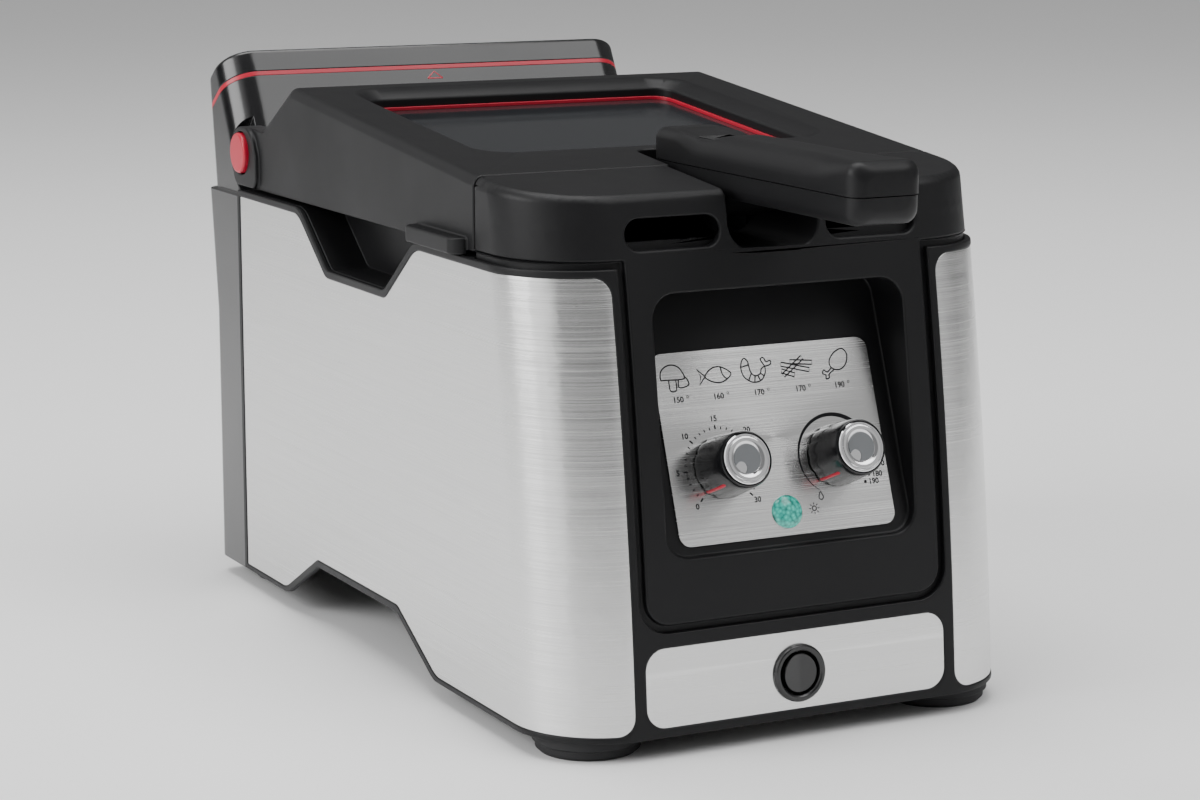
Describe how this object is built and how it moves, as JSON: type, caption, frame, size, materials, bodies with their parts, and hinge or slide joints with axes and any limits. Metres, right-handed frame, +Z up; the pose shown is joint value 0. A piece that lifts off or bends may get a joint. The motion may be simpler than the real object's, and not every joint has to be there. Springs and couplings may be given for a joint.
{
  "type": "deep fryer",
  "caption": "Deep fryer with steel side skins, a rear-hinged windowed lid, a lifting basket on a long handle and a slanted panel with two knobs.",
  "frame": {"origin": "on the floor, midway between the sides and midway between the handle's tip and the tower's back", "axes": "+X to the right seen from the front, -Y to the front where the handle points, +Z up"},
  "size_m": [0.2426, 0.4788, 0.2718],
  "materials": {
    "black_plastic": "fine satin moulded plastic",
    "dark_gloss": "semi-gloss moulded plastic",
    "brushed_steel": "horizontally brushed stainless steel",
    "sheet_steel": "plain pressed stainless steel",
    "chrome": "polished",
    "red_plastic": "satin red",
    "green_lens": "translucent, lit",
    "glass": "smoked tempered glass",
    "rubber": "soft matt",
    "grey_rubber": "silicone",
    "wire": "bright drawn wire",
    "zinc": "plain zinc",
    "carbon": "granular",
    "foam": "white fleece",
    "beige": "glass-filled plastic"
  },
  "bodies": {
    "root": {"body_frame": "black_plastic", "left_steel_skin": "brushed_steel", "right_steel_skin": "brushed_steel", "lower_front_plate": "brushed_steel", "rim_ring": "black_plastic", "front_fascia": "black_plastic", "control_panel": "brushed_steel", "timer_mechanism": "beige", "thermostat_mechanism": "beige", "ready_lamp_lens": "green_lens", "lamp_holder": "beige", "switch_bezel": "dark_gloss", "switch_contacts": "beige", "left_hinge_pin": "zinc", "right_hinge_pin": "zinc", "tower_housing": "dark_gloss", "rear_cover": "black_plastic", "tower_band": "red_plastic", "carbon_filter": "carbon", "grease_filter": "foam", "cord_gland": "rubber", "base_tray": "black_plastic", "foot_screws": "zinc", "heat_shield": "sheet_steel", "oil_bowl": "sheet_steel", "heating_element": "sheet_steel", "element_clips": "zinc", "bowl_temperature_sensor": "zinc", "terminal_block": "beige", "front_left_foot": "rubber", "front_left_post": "black_plastic", "front_right_foot": "rubber", "front_right_post": "black_plastic", "rear_left_foot": "rubber", "rear_left_post": "black_plastic", "rear_right_foot": "rubber", "rear_right_post": "black_plastic"},
    "lid": {"lid_shell": "black_plastic", "window_glass": "glass", "window_trim": "red_plastic", "lid_inner_pan": "sheet_steel", "lid_seal": "grey_rubber"},
    "left_button": {"left_release_button": "red_plastic"},
    "right_button": {"right_release_button": "red_plastic"},
    "timer": {"timer_knob": "dark_gloss", "timer_knob_cap": "chrome", "timer_shaft": "zinc"},
    "thermostat": {"thermostat_knob": "dark_gloss", "thermostat_knob_cap": "chrome", "thermostat_shaft": "zinc"},
    "rocker": {"switch_rocker": "dark_gloss"},
    "basket": {"basket_mesh": "wire", "basket_rim": "wire", "basket_bracket": "wire", "handle_pivot_pin": "zinc"},
    "handle": {"handle_upper_shell": "black_plastic", "handle_lower_shell": "black_plastic"},
    "handle_catch": {"handle_slide_catch": "dark_gloss"},
    "filter_cap": {"tower_cap": "dark_gloss"}
  },
  "joints": [
    {"name": "lid_hinge", "type": "hinge", "parent": "root", "child": "lid", "pos_m": [0, 0.1809, 0.2235], "axis": [-1, 0, 0], "range_deg": [0, 88]},
    {"name": "left_button_press", "type": "slide", "parent": "lid", "child": "left_button", "axis": [1, 0, 0], "range_m": [0, 0.003], "stiffness_N_per_m": 300},
    {"name": "right_button_press", "type": "slide", "parent": "lid", "child": "right_button", "axis": [-1, 0, 0], "range_m": [0, 0.003], "stiffness_N_per_m": 300},
    {"name": "timer_turn", "type": "hinge", "parent": "root", "child": "timer", "pos_m": [-0.0279, -0.15512, 0.11714], "axis": [0, 0.9391, -0.3437], "range_deg": [0, 274]},
    {"name": "thermostat_turn", "type": "hinge", "parent": "root", "child": "thermostat", "pos_m": [0.0279, -0.15512, 0.11714], "axis": [0, 0.9391, -0.3437], "range_deg": [0, 280]},
    {"name": "switch_rock", "type": "hinge", "parent": "root", "child": "rocker", "pos_m": [0, -0.17169, 0.0283], "axis": [0, -0.0775, -0.997], "range_deg": [0, 12]},
    {"name": "basket_lift", "type": "slide", "parent": "root", "child": "basket", "axis": [0, 0, 1], "range_m": [0, 0.024]},
    {"name": "handle_fold", "type": "hinge", "parent": "basket", "child": "handle", "pos_m": [0, -0.081, 0.236], "axis": [-1, 0, 0], "range_deg": [0, 90]},
    {"name": "handle_catch_slide", "type": "slide", "parent": "handle", "child": "handle_catch", "axis": [0, 1, 0], "range_m": [0, 0.006], "stiffness_N_per_m": 300},
    {"name": "filter_cap_lift", "type": "slide", "parent": "root", "child": "filter_cap", "axis": [0, 0.5817, 0.8134], "range_m": [0, 0.025]}
  ]
}
